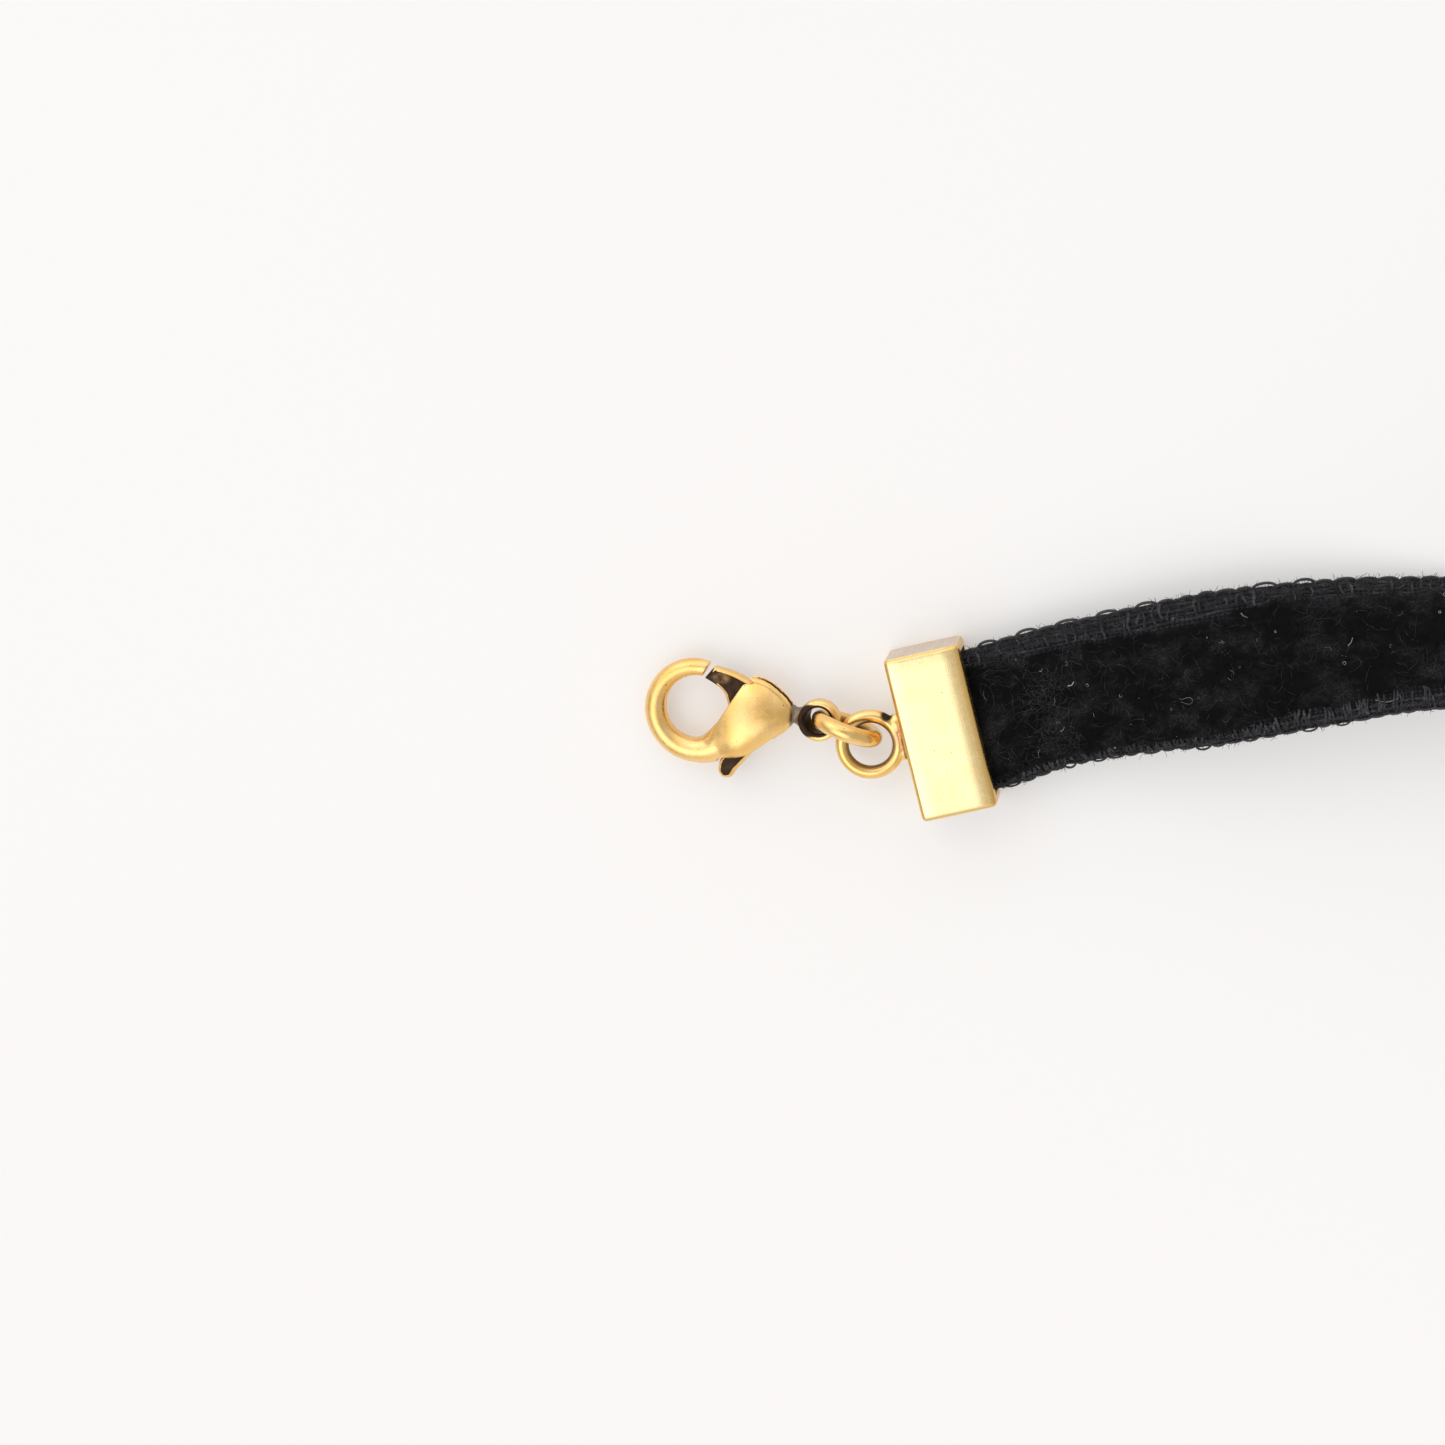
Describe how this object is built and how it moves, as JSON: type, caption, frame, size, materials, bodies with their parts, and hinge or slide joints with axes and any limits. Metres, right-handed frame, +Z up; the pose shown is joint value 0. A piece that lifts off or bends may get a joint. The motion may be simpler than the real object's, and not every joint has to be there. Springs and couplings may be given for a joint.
{
  "type": "velvet ribbon choker necklace",
  "caption": "Flat black velvet ribbon choker with glue-in box end caps, a soldered ring on each, a jump ring and lobster clasp on one end and a short extender chain on the other.",
  "frame": {"origin": "centre of the choker's footprint on the table it lies on", "axes": "+Z up from the table, +X from the clasp along the straight stretch of ribbon towards the loop, +Y away from the loop"},
  "size_m": [0.1513, 0.0848, 0.0101],
  "materials": {
    "velvet": "short dense velvet pile, woven edges",
    "cap_gold": "antique gold plate, satin, worn",
    "ring_gold": "antique gold plate, satin, worn",
    "clasp_gold": "antique gold plate, satin, worn",
    "trigger_patina": "dark brown patina with polished gold edges",
    "steel": "plain",
    "glue": "clear, yellowed"
  },
  "bodies": {
    "band": {"velvet_ribbon": "velvet", "end_cap_a": "cap_gold", "adhesive_a": "glue", "cap_ring_a": "ring_gold", "end_cap_b": "cap_gold", "adhesive_b": "glue", "cap_ring_b": "ring_gold"},
    "jump_ring": {"jump_ring": "ring_gold"},
    "clasp": {"clasp_body": "clasp_gold", "clasp_rivet": "steel", "clasp_spring": "steel"},
    "trigger": {"clasp_trigger": "trigger_patina"},
    "link_1": {"chain_link_1": "ring_gold"},
    "link_2": {"chain_link_2": "ring_gold"},
    "link_3": {"chain_link_3": "ring_gold"},
    "link_4": {"chain_link_4": "ring_gold"},
    "link_5": {"chain_link_5": "ring_gold"},
    "link_6": {"chain_link_6": "ring_gold"},
    "link_7": {"chain_link_7": "ring_gold"},
    "link_8": {"chain_link_8": "ring_gold"}
  },
  "joints": [
    {"name": "jump_ring_lift", "type": "hinge", "parent": "band", "child": "jump_ring", "pos_m": [-0.06143, 0.03072, 0.002], "axis": [0.3239, 0.9461, 0], "range_deg": [0, 85]},
    {"name": "clasp_swing", "type": "hinge", "parent": "jump_ring", "child": "clasp", "pos_m": [-0.06341, 0.03121, 0.00235], "axis": [0, 0, 1], "range_deg": [-75, 75]},
    {"name": "trigger_pull", "type": "hinge", "parent": "clasp", "child": "trigger", "pos_m": [-0.06759, 0.0315, 0.00191], "axis": [-0.1045, 0, 0.9945], "range_deg": [0, 22], "stiffness_Nm_per_rad": 0.004, "springref_deg": -34.38},
    {"name": "link_1_swing", "type": "hinge", "parent": "band", "child": "link_1", "pos_m": [-0.00262, -0.00273, 0.00198], "axis": [0, 0, 1], "range_deg": [-15, 15]},
    {"name": "link_2_swing", "type": "hinge", "parent": "link_1", "child": "link_2", "pos_m": [-0.00306, 0.00144, 0.00198], "axis": [0, 0, 1], "range_deg": [-12, 45]},
    {"name": "link_3_swing", "type": "hinge", "parent": "link_2", "child": "link_3", "pos_m": [-0.00195, 0.00552, 0.00198], "axis": [0, 0, 1], "range_deg": [-12, 45]},
    {"name": "link_4_swing", "type": "hinge", "parent": "link_3", "child": "link_4", "pos_m": [0.00043, 0.00902, 0.00198], "axis": [0, 0, 1], "range_deg": [-12, 45]},
    {"name": "link_5_swing", "type": "hinge", "parent": "link_4", "child": "link_5", "pos_m": [0.00381, 0.01156, 0.00198], "axis": [0, 0, 1], "range_deg": [-12, 45]},
    {"name": "link_6_swing", "type": "hinge", "parent": "link_5", "child": "link_6", "pos_m": [0.00784, 0.01285, 0.00198], "axis": [0, 0, 1], "range_deg": [-12, 45]},
    {"name": "link_7_swing", "type": "hinge", "parent": "link_6", "child": "link_7", "pos_m": [0.01207, 0.01276, 0.00198], "axis": [0, 0, 1], "range_deg": [-12, 45]},
    {"name": "link_8_swing", "type": "hinge", "parent": "link_7", "child": "link_8", "pos_m": [0.01604, 0.0113, 0.00198], "axis": [0, 0, 1], "range_deg": [-12, 45]}
  ]
}
